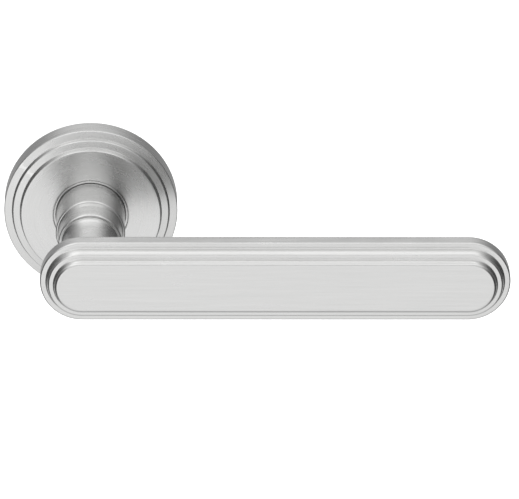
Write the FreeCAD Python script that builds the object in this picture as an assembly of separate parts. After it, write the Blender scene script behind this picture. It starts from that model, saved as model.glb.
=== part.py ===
"""Sprung lever handle on a round stepped rose, for one side of a door, with its 8 mm spindle.

Millimetres, +Z up. The origin is where the spindle's axis crosses the door's face, which is the
plane Y = 0. The door is on the +Y side, the room on the -Y side, and the grip points to +X.
A height is a distance out from the door's face, so it is -Y.
"""

import FreeCAD
import Part

import math
import os

V = FreeCAD.Vector
ORIGIN = V(0, 0, 0)
INTO_DOOR = V(0, 1, 0)
OUT = V(0, -1, 0)
FULL_TURN = 360.0

# Rose cover: a turned shell with two steps
rose_r = 26.0
rose_wall_height = 6.7
step_1_r = 23.65
step_1_height = 8.05
step_2_r = 21.25
rose_height = 9.8
rose_shell = 1.0
rose_rim_inner_r = 24.5
rose_edge_round = 0.25
rose_ledge_fall = 0.35
step_riser_lean = 0.3
step_edge_round = 0.25
step_foot_round = 0.12
cover_hole_r = 11.25

# Neck: three turned drums that get smaller towards the grip, and a journal inside the rose
drum_1_r = 10.35
drum_1_end = 23.1
drum_2_r = 9.5
drum_2_end = 31.0
drum_3_r = 8.0
drum_edge_round = 0.28
drum_foot_round = 0.35
journal_r = 8.0
journal_end = 0.2
key_r = 9.4
key_flat = 8.1
key_start = 6.95
key_end = 8.25

# Grip: a flat bar with full round ends and two rounded steps up to its front panel
grip_back = 52.1
grip_wall_front = 57.8
grip_step_front = 60.4
grip_front = 62.5
grip_left = -14.6
grip_right = 123.7
grip_half = 12.4
grip_back_round = 1.6
grip_edge_round = 0.45
ledge_1 = 1.75
ledge_2 = 0.95
outer_riser_lean = 0.75
inner_riser_lean = 0.55
riser_foot_round = 0.25
outer_riser_round = 0.5
inner_riser_round = 0.9

# Spindle and its screw
spindle_side = 7.95
spindle_socket_side = 8.1
spindle_inner_end = 35.0
spindle_socket_end = 36.0
spindle_reach = 40.0
spindle_chamfer = 0.8
grub_r = 3.0
grub_height = 16.0
grub_tip_z = -3.6
grub_face_z = -9.9
dimple_depth = 0.45

# Screw and pins that join the neck to the grip
neck_screw_r = 2.0
neck_screw_head_r = 3.5
neck_screw_head_height = 4.0
neck_screw_seat = 44.0
neck_screw_end = 60.0
neck_screw_clearance = 0.15
lock_washer_r = 3.55
lock_washer_height = 1.1
lock_washer_gap = 0.7
pin_r = 1.5
pin_offset = 5.4
pin_length = 8.0

# Rose base
base_r = 24.2
base_rim_inner_r = 23.1
base_rim_height = 5.2
base_floor = 1.6
boss_r = 12.1
boss_height = 6.3
bush_seat_r = 9.3
recess_r = 10.9
recess_depth = 3.0
stop_pin_r = 1.9
stop_pin_place = 17.0
stop_pin_height = 8.0
stop_gap = 0.15
full_press = 45.0

# Bearing, thrust and retaining parts on the journal
running_gap = 0.05
bush_flange_r = 11.4
bush_flange_end = 6.9
washer_r = 10.6
washer_start = 2.25
washer_end = 2.95
disc_spring_sheet = 0.3
disc_spring_start = 1.5
disc_spring_rise = 0.35
clip_start = 0.4
clip_end = 1.4
clip_groove_r = 7.5
clip_r = 9.5
clip_lug_r = 1.15
clip_lug_hole_r = 0.55
clip_lug_place = 9.35
clip_gap_half_angle = 13.0
guide_ring_r = 12.6
guide_ring_start = 8.3
guide_ring_front = 9.75
guide_ring_gap = 0.12
guide_lip_gap = 0.13

# Drive ring, which turns with the neck and pushes the spring
ring_start = 7.0
ring_end = 8.2
ring_r = 14.2
lug_half_width = 2.5
lug_outer = 18.6
finger_inner = 15.4
finger_tip = 4.6

# Return spring: a torsion spring round the boss, with both ends bent outwards
wire_r = 0.85
coil_r = 13.7
coil_pitch = 1.76
coil_start_height = 2.55
coil_start_angle = 33.6
coil_end_angle = 83.2
coil_whole_turns = 2
leg_bend_r = 1.6
leg_end_r = 18.4

# Fixings to the door
post_place = 19.0
post_r = 3.4
post_flange_r = 3.65
post_flange_end = 2.4
post_reach = 8.0
post_thread_r = 1.65
wood_screw_place = 19.3
wood_screw_first_angle = 60.0
wood_screw_count = 4
wood_screw_r = 1.75
wood_screw_core_r = 1.15
wood_screw_head_r = 3.2
wood_screw_head_top = 2.3
wood_screw_plain_end = -3.5
wood_screw_thread_end = -11.6
wood_screw_tip = -14.0
wood_screw_pitch = 1.35
pad_r = 3.8

# Set screw that holds the cover on the base
cover_screw_r = 1.5
cover_screw_height = 3.2
cover_screw_tip_z = -24.25
cover_screw_face_z = -25.8


def corner_path(points):
    """Closed wire in the XY plane through (x, y, corner radius) points, with arcs at the rounded corners."""
    corners = []
    for number, (x, y, radius) in enumerate(points):
        here = V(x, y, 0)
        before = V(*points[number - 1][:2], 0)
        after = V(*points[(number + 1) % len(points)][:2], 0)
        if radius == 0:
            corners.append((here, None, here))
            continue
        back = (before - here).normalize()
        ahead = (after - here).normalize()
        half_angle = back.getAngle(ahead) / 2
        reach = radius / math.tan(half_angle)
        centre = here + (back + ahead).normalize() * (radius / math.sin(half_angle))
        middle = centre + (here - centre).normalize() * radius
        corners.append((here + back * reach, middle, here + ahead * reach))
    edges = []
    for number, (start, middle, end) in enumerate(corners):
        if middle is not None:
            edges.append(Part.Arc(start, middle, end).toShape())
        following = corners[(number + 1) % len(corners)][0]
        if (following - end).Length > 1e-6:
            edges.append(Part.LineSegment(end, following).toShape())
    return Part.Wire(edges)


def with_radius(points):
    """The points with a corner radius of 0 where none is given."""
    return [(*point, 0) if len(point) == 2 else point for point in points]


def lathe(points, angle=FULL_TURN):
    """Solid turned about the spindle's axis from (radius, height, corner radius) points."""
    flat = [(radius, -height, round_r) for radius, height, round_r in with_radius(points)]
    solid = Part.Face(corner_path(flat)).revolve(ORIGIN, INTO_DOOR, angle)
    return upright(solid)


def upright(solid):
    """The solid with its faces pointing outwards."""
    if solid.Volume < 0:
        solid.reverse()
    return solid


def drum(radius, low, high, x=0.0, z=0.0):
    """Cylinder along the spindle's axis between two heights."""
    return Part.makeCylinder(radius, high - low, V(x, -low, z), OUT)


def block(x_low, x_high, z_low, z_high, low, high):
    """Box between two X, two Z and two heights."""
    size = (x_high - x_low, high - low, z_high - z_low)
    return Part.makeBox(*size, V(x_low, -high, z_low))


def turned_by(shape, angle):
    """Copy of the shape turned about the spindle's axis; a positive angle takes +X towards -Z."""
    copy = shape.copy()
    copy.rotate(ORIGIN, INTO_DOOR, angle)
    return copy


def polar(radius, angle):
    """X and Z of a point at an angle from +X towards +Z."""
    return radius * math.cos(math.radians(angle)), radius * math.sin(math.radians(angle))


def hexagon(across_flats, start, direction, depth):
    """Hexagonal prism, for the socket of a hexagon key."""
    corner_r = across_flats / math.sqrt(3)
    turn = FreeCAD.Rotation(V(0, 0, 1), direction)
    corners = []
    for number in range(7):
        angle = math.radians(60 * number)
        corner = turn.multVec(V(corner_r * math.cos(angle), corner_r * math.sin(angle), 0))
        corners.append(start + corner)
    return Part.Face(Part.makePolygon(corners)).extrude(direction * depth)


def threaded_rod(start, direction, length, radius, core_r, pitch, point):
    """Set screw: a ringed rod that ends in a cone, made along +Z and then turned to its direction."""
    outline = [(0, 0), (core_r, 0)]
    ring_count = int((length - point) / pitch)
    first = (length - point - ring_count * pitch) / 2
    for number in range(ring_count):
        low = first + number * pitch
        outline += [
            (core_r, low + 0.1 * pitch),
            (radius, low + 0.45 * pitch),
            (radius, low + 0.55 * pitch),
            (core_r, low + 0.9 * pitch),
        ]
    outline += [(core_r, length - point), (0, length)]
    corners = [V(radius_here, 0, height) for radius_here, height in outline]
    face = Part.Face(Part.makePolygon(corners + corners[:1]))
    rod = upright(face.revolve(ORIGIN, V(0, 0, 1), FULL_TURN))
    rod.Placement = FreeCAD.Placement(start, FreeCAD.Rotation(V(0, 0, 1), direction))
    return rod


def rose_cover():
    """Turned shell of the rose, with the hole of its set screw in the lowest point of the rim."""
    step_1_inner = step_1_r - rose_shell
    step_2_inner = step_2_r - rose_shell
    shell = lathe([
        (rose_r, 0, 0.2),
        (rose_r, rose_wall_height - rose_ledge_fall, rose_edge_round),
        (step_1_r, rose_wall_height, step_foot_round),
        (step_1_r - step_riser_lean, step_1_height - rose_ledge_fall, step_edge_round),
        (step_2_r, step_1_height, step_foot_round),
        (step_2_r - step_riser_lean, rose_height, step_edge_round),
        (cover_hole_r, rose_height, 0.12),
        (cover_hole_r, rose_height - rose_shell),
        (step_2_inner, rose_height - rose_shell, 0.3),
        (step_2_inner, step_1_height - rose_shell),
        (step_1_inner, step_1_height - rose_shell, 0.3),
        (step_1_inner, rose_wall_height - rose_shell),
        (rose_rim_inner_r, rose_wall_height - rose_shell, 0.3),
        (rose_rim_inner_r, 0),
    ])
    screw_hole = Part.makeCylinder(cover_screw_r, 4, V(0, -cover_screw_height, -23), V(0, 0, -1))
    return shell.cut(screw_hole)


def guide_ring():
    """Thin metal ring, held in the cover's hole, that closes the gap round the neck."""
    bore_r = drum_1_r + guide_ring_gap
    lip_r = cover_hole_r - guide_lip_gap
    cover_back = rose_height - rose_shell
    lip_foot = cover_back + 0.2
    return lathe([
        (bore_r, guide_ring_start, 0.15),
        (guide_ring_r, guide_ring_start, 0.15),
        (guide_ring_r, cover_back),
        (cover_hole_r, cover_back),
        (cover_hole_r, lip_foot),
        (lip_r, lip_foot),
        (lip_r, guide_ring_front, 0.15),
        (bore_r, guide_ring_front, 0.2),
    ])


def cover_set_screw():
    """M3 set screw in the underside of the cover's rim."""
    length = cover_screw_tip_z - cover_screw_face_z
    start = V(0, -cover_screw_height, cover_screw_face_z)
    screw = threaded_rod(start, V(0, 0, 1), length, cover_screw_r, 1.25, 0.5, 0.35)
    return screw.cut(hexagon(1.5, start, V(0, 0, 1), 0.9))


def grip_outline():
    """Half of the grip's cross-section, as (distance from the centre line, height, corner radius)."""
    foot_1 = grip_half - ledge_1
    top_1 = foot_1 - outer_riser_lean
    foot_2 = top_1 - outer_riser_round - ledge_2
    top_2 = foot_2 - inner_riser_lean
    return [
        (0, grip_back),
        (grip_half, grip_back, grip_back_round),
        (grip_half, grip_wall_front, grip_edge_round),
        (foot_1, grip_wall_front, riser_foot_round),
        (top_1, grip_step_front, outer_riser_round),
        (foot_2, grip_step_front, riser_foot_round),
        (top_2, grip_front, inner_riser_round),
        (0, grip_front),
    ]


def grip():
    """Bar of the handle: a straight middle and two turned half ends, drilled behind for screw and pins."""
    half = with_radius(grip_outline())
    flat = [(across, -height, round_r) for across, height, round_r in half]
    section = Part.Face(corner_path(flat))
    left_centre = grip_left + grip_half
    right_centre = grip_right - grip_half
    right_end = upright(section.revolve(ORIGIN, INTO_DOOR, FULL_TURN / 2))
    right_end.rotate(ORIGIN, INTO_DOOR, -FULL_TURN / 4)
    left_end = right_end.copy()
    left_end.rotate(ORIGIN, INTO_DOOR, FULL_TURN / 2)
    right_end.translate(V(right_centre, 0, 0))
    left_end.translate(V(left_centre, 0, 0))
    upper = section.copy()
    upper.rotate(ORIGIN, INTO_DOOR, -FULL_TURN / 4)
    lower = section.copy()
    lower.rotate(ORIGIN, INTO_DOOR, FULL_TURN / 4)
    bar = left_end
    for half_section in (upper, lower):
        half_section.translate(V(left_centre, 0, 0))
        bar = bar.fuse(upright(half_section.extrude(V(right_centre - left_centre, 0, 0))))
    bar = bar.fuse(right_end).removeSplitter()
    bar = bar.cut(drum(neck_screw_r, grip_back - 1, neck_screw_end + 0.3))
    for side in (-1, 1):
        bar = bar.cut(drum(pin_r, grip_back - 1, grip_back + pin_length / 2, side * pin_offset))
    return bar


def neck():
    """Turned neck: journal, keyed collar and three drums, with the spindle's square socket in its back."""
    body = lathe([
        (0, journal_end),
        (journal_r, journal_end),
        (journal_r, clip_start - running_gap),
        (clip_groove_r, clip_start - running_gap),
        (clip_groove_r, clip_end + running_gap),
        (journal_r, clip_end + running_gap),
        (journal_r, key_start),
        (key_r, key_start),
        (key_r, key_end),
        (drum_1_r, key_end),
        (drum_1_r, drum_1_end, drum_edge_round),
        (drum_2_r, drum_1_end, drum_foot_round),
        (drum_2_r, drum_2_end, drum_edge_round),
        (drum_3_r, drum_2_end, drum_foot_round),
        (drum_3_r, grip_back),
        (0, grip_back),
    ])
    for side in (-1, 1):
        inner, outer = sorted((side * key_flat, side * (key_r + 1)))
        body = body.cut(block(-key_r, key_r, inner, outer, key_start, key_end))
        body = body.cut(drum(pin_r, grip_back - pin_length / 2, grip_back + 1, side * pin_offset))
    half = spindle_socket_side / 2
    body = body.cut(block(-half, half, -half, half, journal_end - 1, spindle_socket_end))
    body = body.cut(drum(neck_screw_head_r + 0.1, spindle_socket_end - 1, neck_screw_seat))
    body = body.cut(drum(neck_screw_r + neck_screw_clearance, neck_screw_seat - 1, grip_back + 1))
    grub_hole = Part.makeCylinder(grub_r, drum_1_r, V(0, -grub_height, 0), V(0, 0, -1))
    return body.cut(grub_hole)


def neck_screw():
    """M4 cap screw, put in through the spindle's socket, that pulls the grip onto the neck."""
    head_front = neck_screw_seat - lock_washer_height
    head_back = head_front - neck_screw_head_height
    screw = lathe([
        (0, head_back),
        (neck_screw_head_r, head_back, 0.4),
        (neck_screw_head_r, head_front),
        (neck_screw_r, head_front),
        (neck_screw_r, neck_screw_end, 0.4),
        (0, neck_screw_end),
    ])
    return screw.cut(hexagon(3.0, V(0, -head_back, 0), OUT, 2.2))


def neck_screw_washer():
    """Spring lock washer under the cap screw's head: a ring of square wire, cut across."""
    low = neck_screw_seat - lock_washer_height
    bore_r = neck_screw_r + 0.1
    ring = lathe([
        (bore_r, low),
        (lock_washer_r, low),
        (lock_washer_r, neck_screw_seat),
        (bore_r, neck_screw_seat),
    ])
    half_gap = lock_washer_gap / 2
    cut = block(0, lock_washer_r + 1, -half_gap, half_gap, low - 1, neck_screw_seat + 1)
    return ring.cut(turned_by(cut, -50))


def locating_pins():
    """Two dowels that keep the grip from turning on the neck."""
    low = grip_back - pin_length / 2
    one = [(0, low), (pin_r, low, 0.3), (pin_r, low + pin_length, 0.3), (0, low + pin_length)]
    pins = []
    for side in (-1, 1):
        pin = lathe(one)
        pin.translate(V(side * pin_offset, 0, 0))
        pins.append(pin)
    return Part.makeCompound(pins)


def spindle():
    """Square bar that turns the lock's follower, with a dimple for the point of its grub screw."""
    half = spindle_side / 2
    bar = block(-half, half, -half, half, -spindle_reach, spindle_inner_end)
    end_edges = [edge for edge in bar.Edges if abs(edge.tangentAt(edge.FirstParameter).y) < 0.5]
    bar = bar.makeChamfer(spindle_chamfer, end_edges)
    dimple = Part.makeCone(1.6, 0.2, dimple_depth + 0.6, V(0, -grub_height, -half - 0.6), V(0, 0, 1))
    return bar.cut(dimple)


def spindle_grub_screw():
    """M6 grub screw under the neck that clamps the spindle."""
    length = grub_tip_z - grub_face_z
    start = V(0, -grub_height, grub_face_z)
    screw = threaded_rod(start, V(0, 0, 1), length, grub_r - 0.02, 2.55, 1.0, 1.3)
    screw = screw.cut(hexagon(3.0, start, V(0, 0, 1), 3.0))
    tip_height = 1.0
    return screw.cut(block(-4, 4, grub_tip_z - 0.05, tip_height, grub_height - 4, grub_height + 4))


def rose_base():
    """Cast base behind the cover: rim, floor, bearing boss and screw pads, bored for stop pins and posts."""
    base = lathe([
        (recess_r, 0),
        (base_r, 0),
        (base_r, base_rim_height, 0.4),
        (base_rim_inner_r, base_rim_height, 0.3),
        (base_rim_inner_r, base_floor, 0.4),
        (boss_r, base_floor),
        (boss_r, boss_height),
        (bush_seat_r, boss_height),
        (bush_seat_r, recess_depth),
        (recess_r, recess_depth),
    ])
    for x, z in wood_screw_places():
        base = base.fuse(drum(pad_r, 0, wood_screw_head_top, x, z))
    base = base.removeSplitter()
    for x, z in wood_screw_places():
        base = base.cut(wood_screw_hole(x, z))
    for x, z in stop_pin_places():
        base = base.cut(drum(stop_pin_r, -1, base_floor + 1, x, z))
    for side in (-1, 1):
        base = base.cut(drum(post_r, -1, base_floor + 1, side * post_place))
    return base


def stop_pin_places():
    """X and Z of the stop pins: the lug's side meets the first at rest and the second when pressed down."""
    across = lug_half_width + stop_gap + stop_pin_r
    up = math.sqrt(stop_pin_place ** 2 - across ** 2)
    pressed_angle = math.degrees(math.atan2(up, across)) - full_press
    return [(-across, up), polar(stop_pin_place, pressed_angle)]


def stop_pins():
    """Two hardened pins, pressed into the base's floor, that end the lever's turn."""
    low = 0.2
    pins = []
    for x, z in stop_pin_places():
        pin = lathe([(0, low), (stop_pin_r, low), (stop_pin_r, stop_pin_height, 0.3), (0, stop_pin_height)])
        pin.translate(V(x, 0, z))
        pins.append(pin)
    return Part.makeCompound(pins)


def wood_screw_places():
    """X and Z of the wood screws, evenly spaced round the base."""
    spacing = FULL_TURN / wood_screw_count
    angles = [wood_screw_first_angle + spacing * number for number in range(wood_screw_count)]
    return [polar(wood_screw_place, angle) for angle in angles]


def wood_screw_hole(x, z):
    """Countersunk hole that one wood screw fits."""
    head_depth = wood_screw_head_r - wood_screw_r
    hole = drum(wood_screw_r + 0.1, -1, wood_screw_head_top + 1, x, z)
    sink = Part.makeCone(
        wood_screw_r, wood_screw_head_r, head_depth, V(x, -(wood_screw_head_top - head_depth), z), OUT
    )
    return hole.fuse(sink)


def wood_screw():
    """Countersunk wood screw on the spindle's axis: plain shank, ringed thread, point and crossed slots."""
    head_depth = wood_screw_head_r - wood_screw_r
    outline = [
        (0, wood_screw_head_top),
        (wood_screw_head_r, wood_screw_head_top),
        (wood_screw_r, wood_screw_head_top - head_depth),
        (wood_screw_r, wood_screw_plain_end),
        (wood_screw_core_r, wood_screw_plain_end - 0.5),
    ]
    height = wood_screw_plain_end - 0.8
    while height - wood_screw_pitch > wood_screw_thread_end:
        outline += [
            (wood_screw_core_r, height),
            (wood_screw_r - 0.05, height - 0.45 * wood_screw_pitch),
            (wood_screw_core_r, height - 0.7 * wood_screw_pitch),
        ]
        height -= wood_screw_pitch
    outline += [(wood_screw_core_r, wood_screw_thread_end), (0, wood_screw_tip)]
    screw = lathe(outline)
    slot_half, slot_reach, slot_depth = 0.4, 1.7, 1.1
    low = wood_screw_head_top - slot_depth
    high = wood_screw_head_top + 1
    screw = screw.cut(block(-slot_reach, slot_reach, -slot_half, slot_half, low, high))
    return screw.cut(block(-slot_half, slot_half, -slot_reach, slot_reach, low, high))


def wood_screws():
    """The four wood screws in the base's pads."""
    screws = []
    for x, z in wood_screw_places():
        screw = wood_screw()
        screw.translate(V(x, 0, z))
        screws.append(screw)
    return Part.makeCompound(screws)


def bolt_posts():
    """Two flanged steel posts with M4 threads, pressed through the base's floor and into the door."""
    posts = []
    for side in (-1, 1):
        post = lathe([
            (post_thread_r, -post_reach),
            (post_r, -post_reach, 0.5),
            (post_r, base_floor),
            (post_flange_r, base_floor),
            (post_flange_r, post_flange_end, 0.2),
            (post_thread_r, post_flange_end),
        ])
        post.translate(V(side * post_place, 0, 0))
        posts.append(post)
    return Part.makeCompound(posts)


def bearing_bush():
    """Flanged nylon bush between the journal and the boss."""
    bore_r = journal_r + running_gap
    sleeve_start = recess_depth + running_gap
    return lathe([
        (bore_r, sleeve_start),
        (bush_seat_r, sleeve_start),
        (bush_seat_r, boss_height),
        (bush_flange_r, boss_height),
        (bush_flange_r, bush_flange_end, 0.2),
        (bore_r, bush_flange_end, 0.1),
    ])


def thrust_washer():
    """Flat steel washer that takes the pull on the lever."""
    bore_r = journal_r + 0.15
    return lathe([
        (bore_r, washer_start),
        (washer_r, washer_start),
        (washer_r, washer_end),
        (bore_r, washer_end),
    ])


def disc_spring():
    """Coned spring washer that takes up the end play."""
    bore_r = journal_r + 0.2
    low = disc_spring_start
    return lathe([
        (bore_r, low),
        (washer_r - 0.2, low + disc_spring_rise),
        (washer_r - 0.2, low + disc_spring_rise + disc_spring_sheet),
        (bore_r, low + disc_spring_sheet),
    ])


def circlip():
    """Retaining clip in the journal's groove, open at the bottom, with an eye at each end for the pliers."""
    clip = drum(clip_r, clip_start, clip_end).cut(drum(clip_groove_r + 0.03, clip_start - 1, clip_end + 1))
    gap_x, gap_z = polar(clip_r + 3, -90 + clip_gap_half_angle)
    wedge = Part.makePolygon([ORIGIN, V(gap_x, 0, gap_z), V(-gap_x, 0, gap_z), ORIGIN])
    opening = Part.Face(wedge).extrude(OUT * (clip_end + 1))
    clip = clip.cut(opening)
    for side in (-1, 1):
        x, z = polar(clip_lug_place, -90 + side * (clip_gap_half_angle + 7))
        clip = clip.fuse(drum(clip_lug_r, clip_start, clip_end, x, z))
        clip = clip.cut(drum(clip_lug_hole_r, clip_start - 1, clip_end + 1, x, z))
    return clip.cut(drum(clip_groove_r + 0.03, clip_start - 1, clip_end + 1))


def drive_ring():
    """Ring keyed to the neck, with a lug that meets the stops and a finger that pushes the spring."""
    ring = drum(ring_r, ring_start, ring_end)
    ring = ring.fuse(block(-lug_half_width, lug_half_width, ring_r - 2, lug_outer, ring_start, ring_end))
    ring = ring.fuse(block(-lug_half_width, lug_half_width, finger_inner, lug_outer, finger_tip, ring_end))
    hole = drum(key_r + running_gap, ring_start - 1, ring_end + 1)
    flat = key_flat + running_gap
    across = key_r + 1
    keyed = hole.common(block(-across, across, -flat, flat, ring_start - 1, ring_end + 1))
    return ring.cut(keyed).removeSplitter()


def spring_leg(angle, height, leaving):
    """End of the spring: a bend off the coil at an angle, and a straight leg outwards.

    The wire runs clockwise seen from the room. leaving is 1 where it runs from the coil into the
    leg, and -1 where it runs from the leg into the coil.
    """
    outward = V(*polar(1, angle), 0)
    outward = V(outward.x, 0, outward.y)
    along = V(outward.z, 0, -outward.x) * leaving
    start = outward * coil_r + V(0, -height, 0)
    centre = start + outward * leg_bend_r
    end = centre + along * leg_bend_r
    middle = centre + (along - outward).normalize() * leg_bend_r
    bend_path = Part.Wire(Part.Arc(start, middle, end).toShape())
    profile = Part.Wire(Part.makeCircle(wire_r, start, along))
    bend = upright(bend_path.makePipeShell([profile], True, False))
    leg_length = leg_end_r - coil_r - leg_bend_r
    leg = Part.makeCylinder(wire_r, leg_length, end, outward)
    return bend.fuse(leg)


def return_spring():
    """Torsion spring round the boss, from a fixed leg near the floor to a leg at the drive ring."""
    turned = coil_start_angle + FULL_TURN * coil_whole_turns - coil_end_angle
    rise = coil_pitch * turned / FULL_TURN
    helix = Part.makeHelix(coil_pitch, rise, coil_r)
    start_point = V(coil_r, 0, 0)
    slope = V(0, 2 * math.pi * coil_r, coil_pitch)
    profile = Part.Wire(Part.makeCircle(wire_r, start_point, slope))
    coil = Part.Wire(helix).makePipeShell([profile], True, True)
    coil.rotate(ORIGIN, V(1, 0, 0), FULL_TURN / 4)
    coil.rotate(ORIGIN, INTO_DOOR, -coil_start_angle)
    coil.translate(V(0, -coil_start_height, 0))
    first_leg = spring_leg(coil_start_angle, coil_start_height, -1)
    last_leg = spring_leg(coil_end_angle, coil_start_height + rise, 1)
    return upright(coil).fuse([first_leg, last_leg])


MAKERS = (
    grip,
    neck,
    neck_screw,
    neck_screw_washer,
    locating_pins,
    spindle,
    spindle_grub_screw,
    drive_ring,
    return_spring,
    bearing_bush,
    thrust_washer,
    disc_spring,
    circlip,
    rose_base,
    stop_pins,
    bolt_posts,
    wood_screws,
    rose_cover,
    guide_ring,
    cover_set_screw,
)

os.makedirs("parts", exist_ok=True)
for maker in MAKERS:
    shape = maker()
    shape.exportStep(f"parts/{maker.__name__}.step")
    volume = round(shape.Volume, 1)
    print(maker.__name__, len(shape.Solids), "solids", volume, "mm3", "valid", shape.isValid())
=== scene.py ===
"""Finished looks of a sprung lever handle on a stepped round rose.

The CAD frame gives every place and size in metres: the door's face is the plane Y = 0, the room is on
the -Y side and the grip points to +X. A height is a distance out from the door's face, so it is -Y.
"""

import math

import bmesh
import bpy
from bpy.props import FloatProperty, FloatVectorProperty, PointerProperty
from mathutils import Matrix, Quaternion, Vector


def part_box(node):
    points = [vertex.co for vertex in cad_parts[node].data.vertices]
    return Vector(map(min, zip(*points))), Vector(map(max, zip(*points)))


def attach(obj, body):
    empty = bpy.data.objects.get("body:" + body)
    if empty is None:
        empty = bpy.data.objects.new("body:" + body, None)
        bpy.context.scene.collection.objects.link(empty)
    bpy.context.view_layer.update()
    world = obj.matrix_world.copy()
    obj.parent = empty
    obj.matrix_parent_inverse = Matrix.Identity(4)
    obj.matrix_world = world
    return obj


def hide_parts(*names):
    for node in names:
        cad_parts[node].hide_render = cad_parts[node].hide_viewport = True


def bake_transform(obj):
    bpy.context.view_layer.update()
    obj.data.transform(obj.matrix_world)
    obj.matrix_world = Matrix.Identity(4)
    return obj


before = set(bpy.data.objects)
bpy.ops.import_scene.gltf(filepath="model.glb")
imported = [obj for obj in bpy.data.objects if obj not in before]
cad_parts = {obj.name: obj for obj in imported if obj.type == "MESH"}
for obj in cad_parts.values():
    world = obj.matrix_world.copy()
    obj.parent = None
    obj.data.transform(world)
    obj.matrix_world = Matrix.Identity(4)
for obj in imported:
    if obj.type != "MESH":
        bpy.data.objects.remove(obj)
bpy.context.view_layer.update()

bl_info = {
    "name": "Lever Handle Looks",
    "version": (1, 0, 0),
    "blender": (4, 5, 0),
    "location": "3D View > Sidebar > Handle",
    "description": "Builds the visible pieces, finishes and studio of a sprung lever handle",
    "category": "Object",
}

MM = 0.001
CLOSE = 0.002 * MM
FULL_TURN = 2 * math.pi
QUARTER = math.pi / 2
ROSE_BODY = "rose"
LEVER_BODY = "lever"


def length_property(name, millimetres, description):
    """A length of the handle, shown in the scene's units."""
    return FloatProperty(name=name, description=description, default=millimetres * MM, unit="LENGTH",
                         subtype="DISTANCE", precision=5)


def angle_property(name, degrees, description):
    """An angle, shown in degrees."""
    return FloatProperty(name=name, description=description, default=math.radians(degrees),
                         unit="ROTATION", subtype="ANGLE")


def colour_property(name, value, description):
    """A linear colour."""
    return FloatVectorProperty(name=name, description=description, default=value, size=3, subtype="COLOR",
                               min=0, max=1)


def share_property(name, value, description):
    """A plain number from 0 up."""
    return FloatProperty(name=name, description=description, default=value, min=0)


class GripSizes(bpy.types.PropertyGroup):
    """Cross-section of the grip, as far as its outer box doesn't give it."""

    wall_front: length_property("Wall height", 57.8, "Height of the front edge of the grip's side wall")
    step_front: length_property("Step height", 60.4, "Height of the step between wall and front panel")
    outer_ledge: length_property("Outer ledge", 1.75, "Width of the flat ledge next to the side wall")
    inner_ledge: length_property("Inner ledge", 0.95, "Width of the flat ledge below the front panel")
    outer_riser_lean: length_property("Outer riser lean", 0.75, "How far the outer riser leans inwards")
    inner_riser_lean: length_property("Inner riser lean", 0.55, "How far the inner riser leans inwards")
    outer_riser_round: length_property("Outer riser rounding", 0.5, "Radius at the top of the outer riser")
    inner_riser_round: length_property("Inner riser rounding", 0.9, "Radius at the panel's edge")
    foot_round: length_property("Foot rounding", 0.25, "Radius of the hollow at each riser's foot")
    edge_round: length_property("Edge rounding", 0.45, "Radius at the front of the side wall")
    back_round: length_property("Back rounding", 1.6, "Radius at the back of the side wall")


class NeckSizes(bpy.types.PropertyGroup):
    """Drums of the turned neck and the holes in it."""

    journal_radius: length_property("Journal radius", 8.0, "Radius of the journal inside the rose")
    drum_1_radius: length_property("First drum radius", 10.35, "Radius of the drum at the rose")
    drum_1_end: length_property("First drum end", 23.1, "Height where the first drum ends")
    drum_2_radius: length_property("Second drum radius", 9.5, "Radius of the middle drum")
    drum_2_end: length_property("Second drum end", 31.0, "Height where the middle drum ends")
    drum_3_radius: length_property("Third drum radius", 8.0, "Radius of the drum at the grip")
    edge_round: length_property("Edge rounding", 0.4, "Radius of each drum's front edge")
    flare_share: share_property("Flare share", 0.36, "How much of each step the next drum's flare takes up")
    flare_length: length_property("Flare length", 5.5, "How far the flare reaches along the drum")
    socket_side: length_property("Socket side", 8.1, "Side of the square socket for the spindle")
    socket_end: length_property("Socket end", 36.0, "Height where the square socket ends")
    grub_radius: length_property("Grub screw radius", 3.0, "Radius of the grub screw's hole")
    grub_height: length_property("Grub screw height", 16.0, "Height of the grub screw's axis")
    collar_radius: length_property("Collar radius", 9.4, "Radius of the hidden collar behind the drums")
    collar_start: length_property("Collar start", 6.95, "Height where the collar starts")
    collar_end: length_property("Collar end", 8.25, "Height where the first drum starts")
    groove_depth: length_property("Groove depth", 0.5, "Depth of the circlip's groove")
    groove_play: length_property("Groove play", 0.05, "Gap on each side of the circlip")
    shank_bore_radius: length_property("Shank bore radius", 2.15, "Radius of the bore for the neck screw")


class RoseSizes(bpy.types.PropertyGroup):
    """Steps of the rose cover."""

    wall_height: length_property("Wall height", 6.7, "Height of the cover's side wall")
    step_1_radius: length_property("First step radius", 23.65, "Radius of the first step")
    step_1_height: length_property("First step height", 8.05, "Height of the first step")
    step_2_radius: length_property("Second step radius", 21.25, "Radius of the raised face")
    tread_fall: length_property("Tread fall", 0.25, "How far each ledge falls away outwards")
    shell: length_property("Shell thickness", 1.0, "Thickness of the cover")
    rim_inner_radius: length_property("Rim inner radius", 24.5, "Inner radius of the cover's rim")
    hole_radius: length_property("Hole radius", 11.25, "Radius of the hole round the neck")
    edge_round: length_property("Edge rounding", 0.25, "Radius of the cover's outer edge")
    riser_lean: length_property("Riser lean", 0.3, "How far each riser leans inwards")
    step_round: length_property("Step rounding", 0.25, "Radius of each step's edge")
    foot_round: length_property("Foot rounding", 0.12, "Radius of the hollow at each step's foot")
    ring_gap: length_property("Ring gap", 0.12, "Gap between the neck and the guide ring")
    ring_lip_gap: length_property("Ring lip gap", 0.13, "Gap between the guide ring's lip and the cover")


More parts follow.
